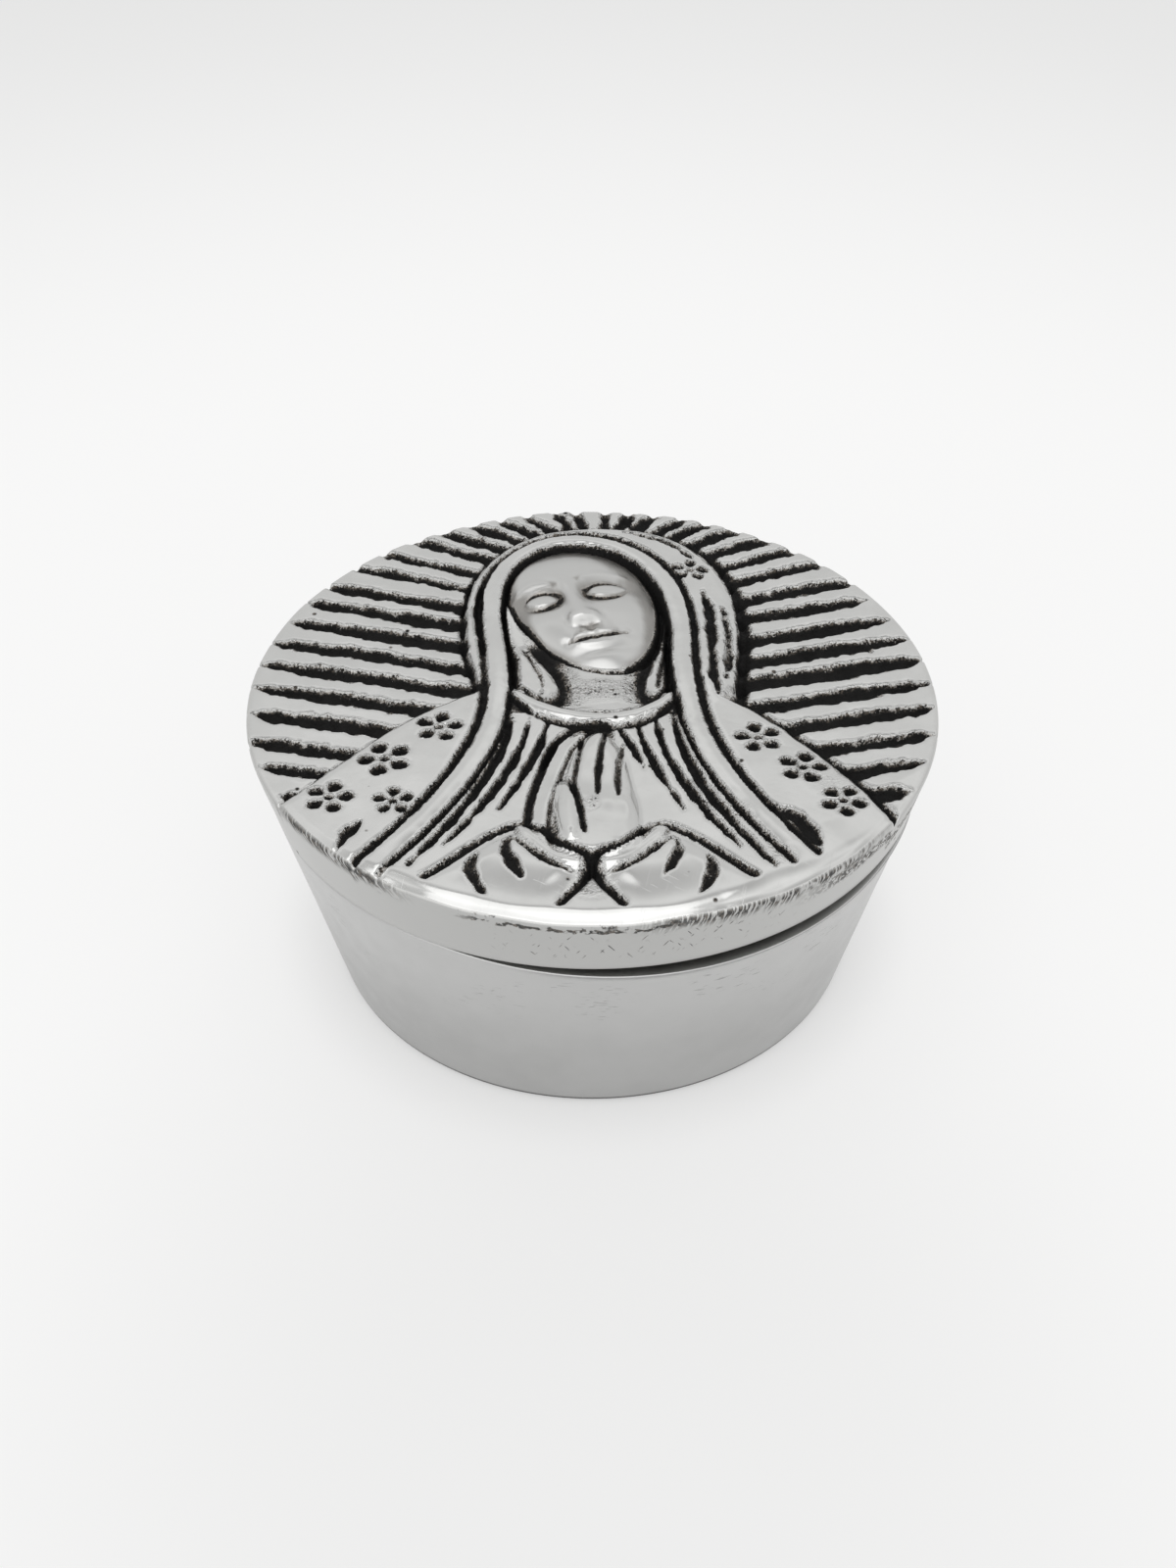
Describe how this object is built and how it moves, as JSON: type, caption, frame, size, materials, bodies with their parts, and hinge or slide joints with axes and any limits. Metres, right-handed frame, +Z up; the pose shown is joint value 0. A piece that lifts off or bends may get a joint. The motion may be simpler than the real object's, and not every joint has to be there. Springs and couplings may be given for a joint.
{
  "type": "round lidded keepsake box",
  "caption": "Round tapered cast-metal box with a loose lift-off lid that carries a low relief, for rosaries and other small keepsakes.",
  "frame": {"origin": "centre of the flat base, on the surface that the box stands on", "axes": "+Z up through the lid, along the way the lid lifts; -Y is the front, where the relief's lower edge lies"},
  "size_m": [0.1076, 0.1076, 0.0518],
  "materials": {
    "satin_metal": "satin",
    "blackened_metal": "polished, with blackened recesses"
  },
  "bodies": {
    "box_body": {"box_body": "satin_metal"},
    "lid": {"lid": "blackened_metal"}
  },
  "joints": [
    {"name": "lid_lift", "type": "slide", "parent": "box_body", "child": "lid", "axis": [0, 0, 1], "range_m": [0, 0.06]}
  ]
}
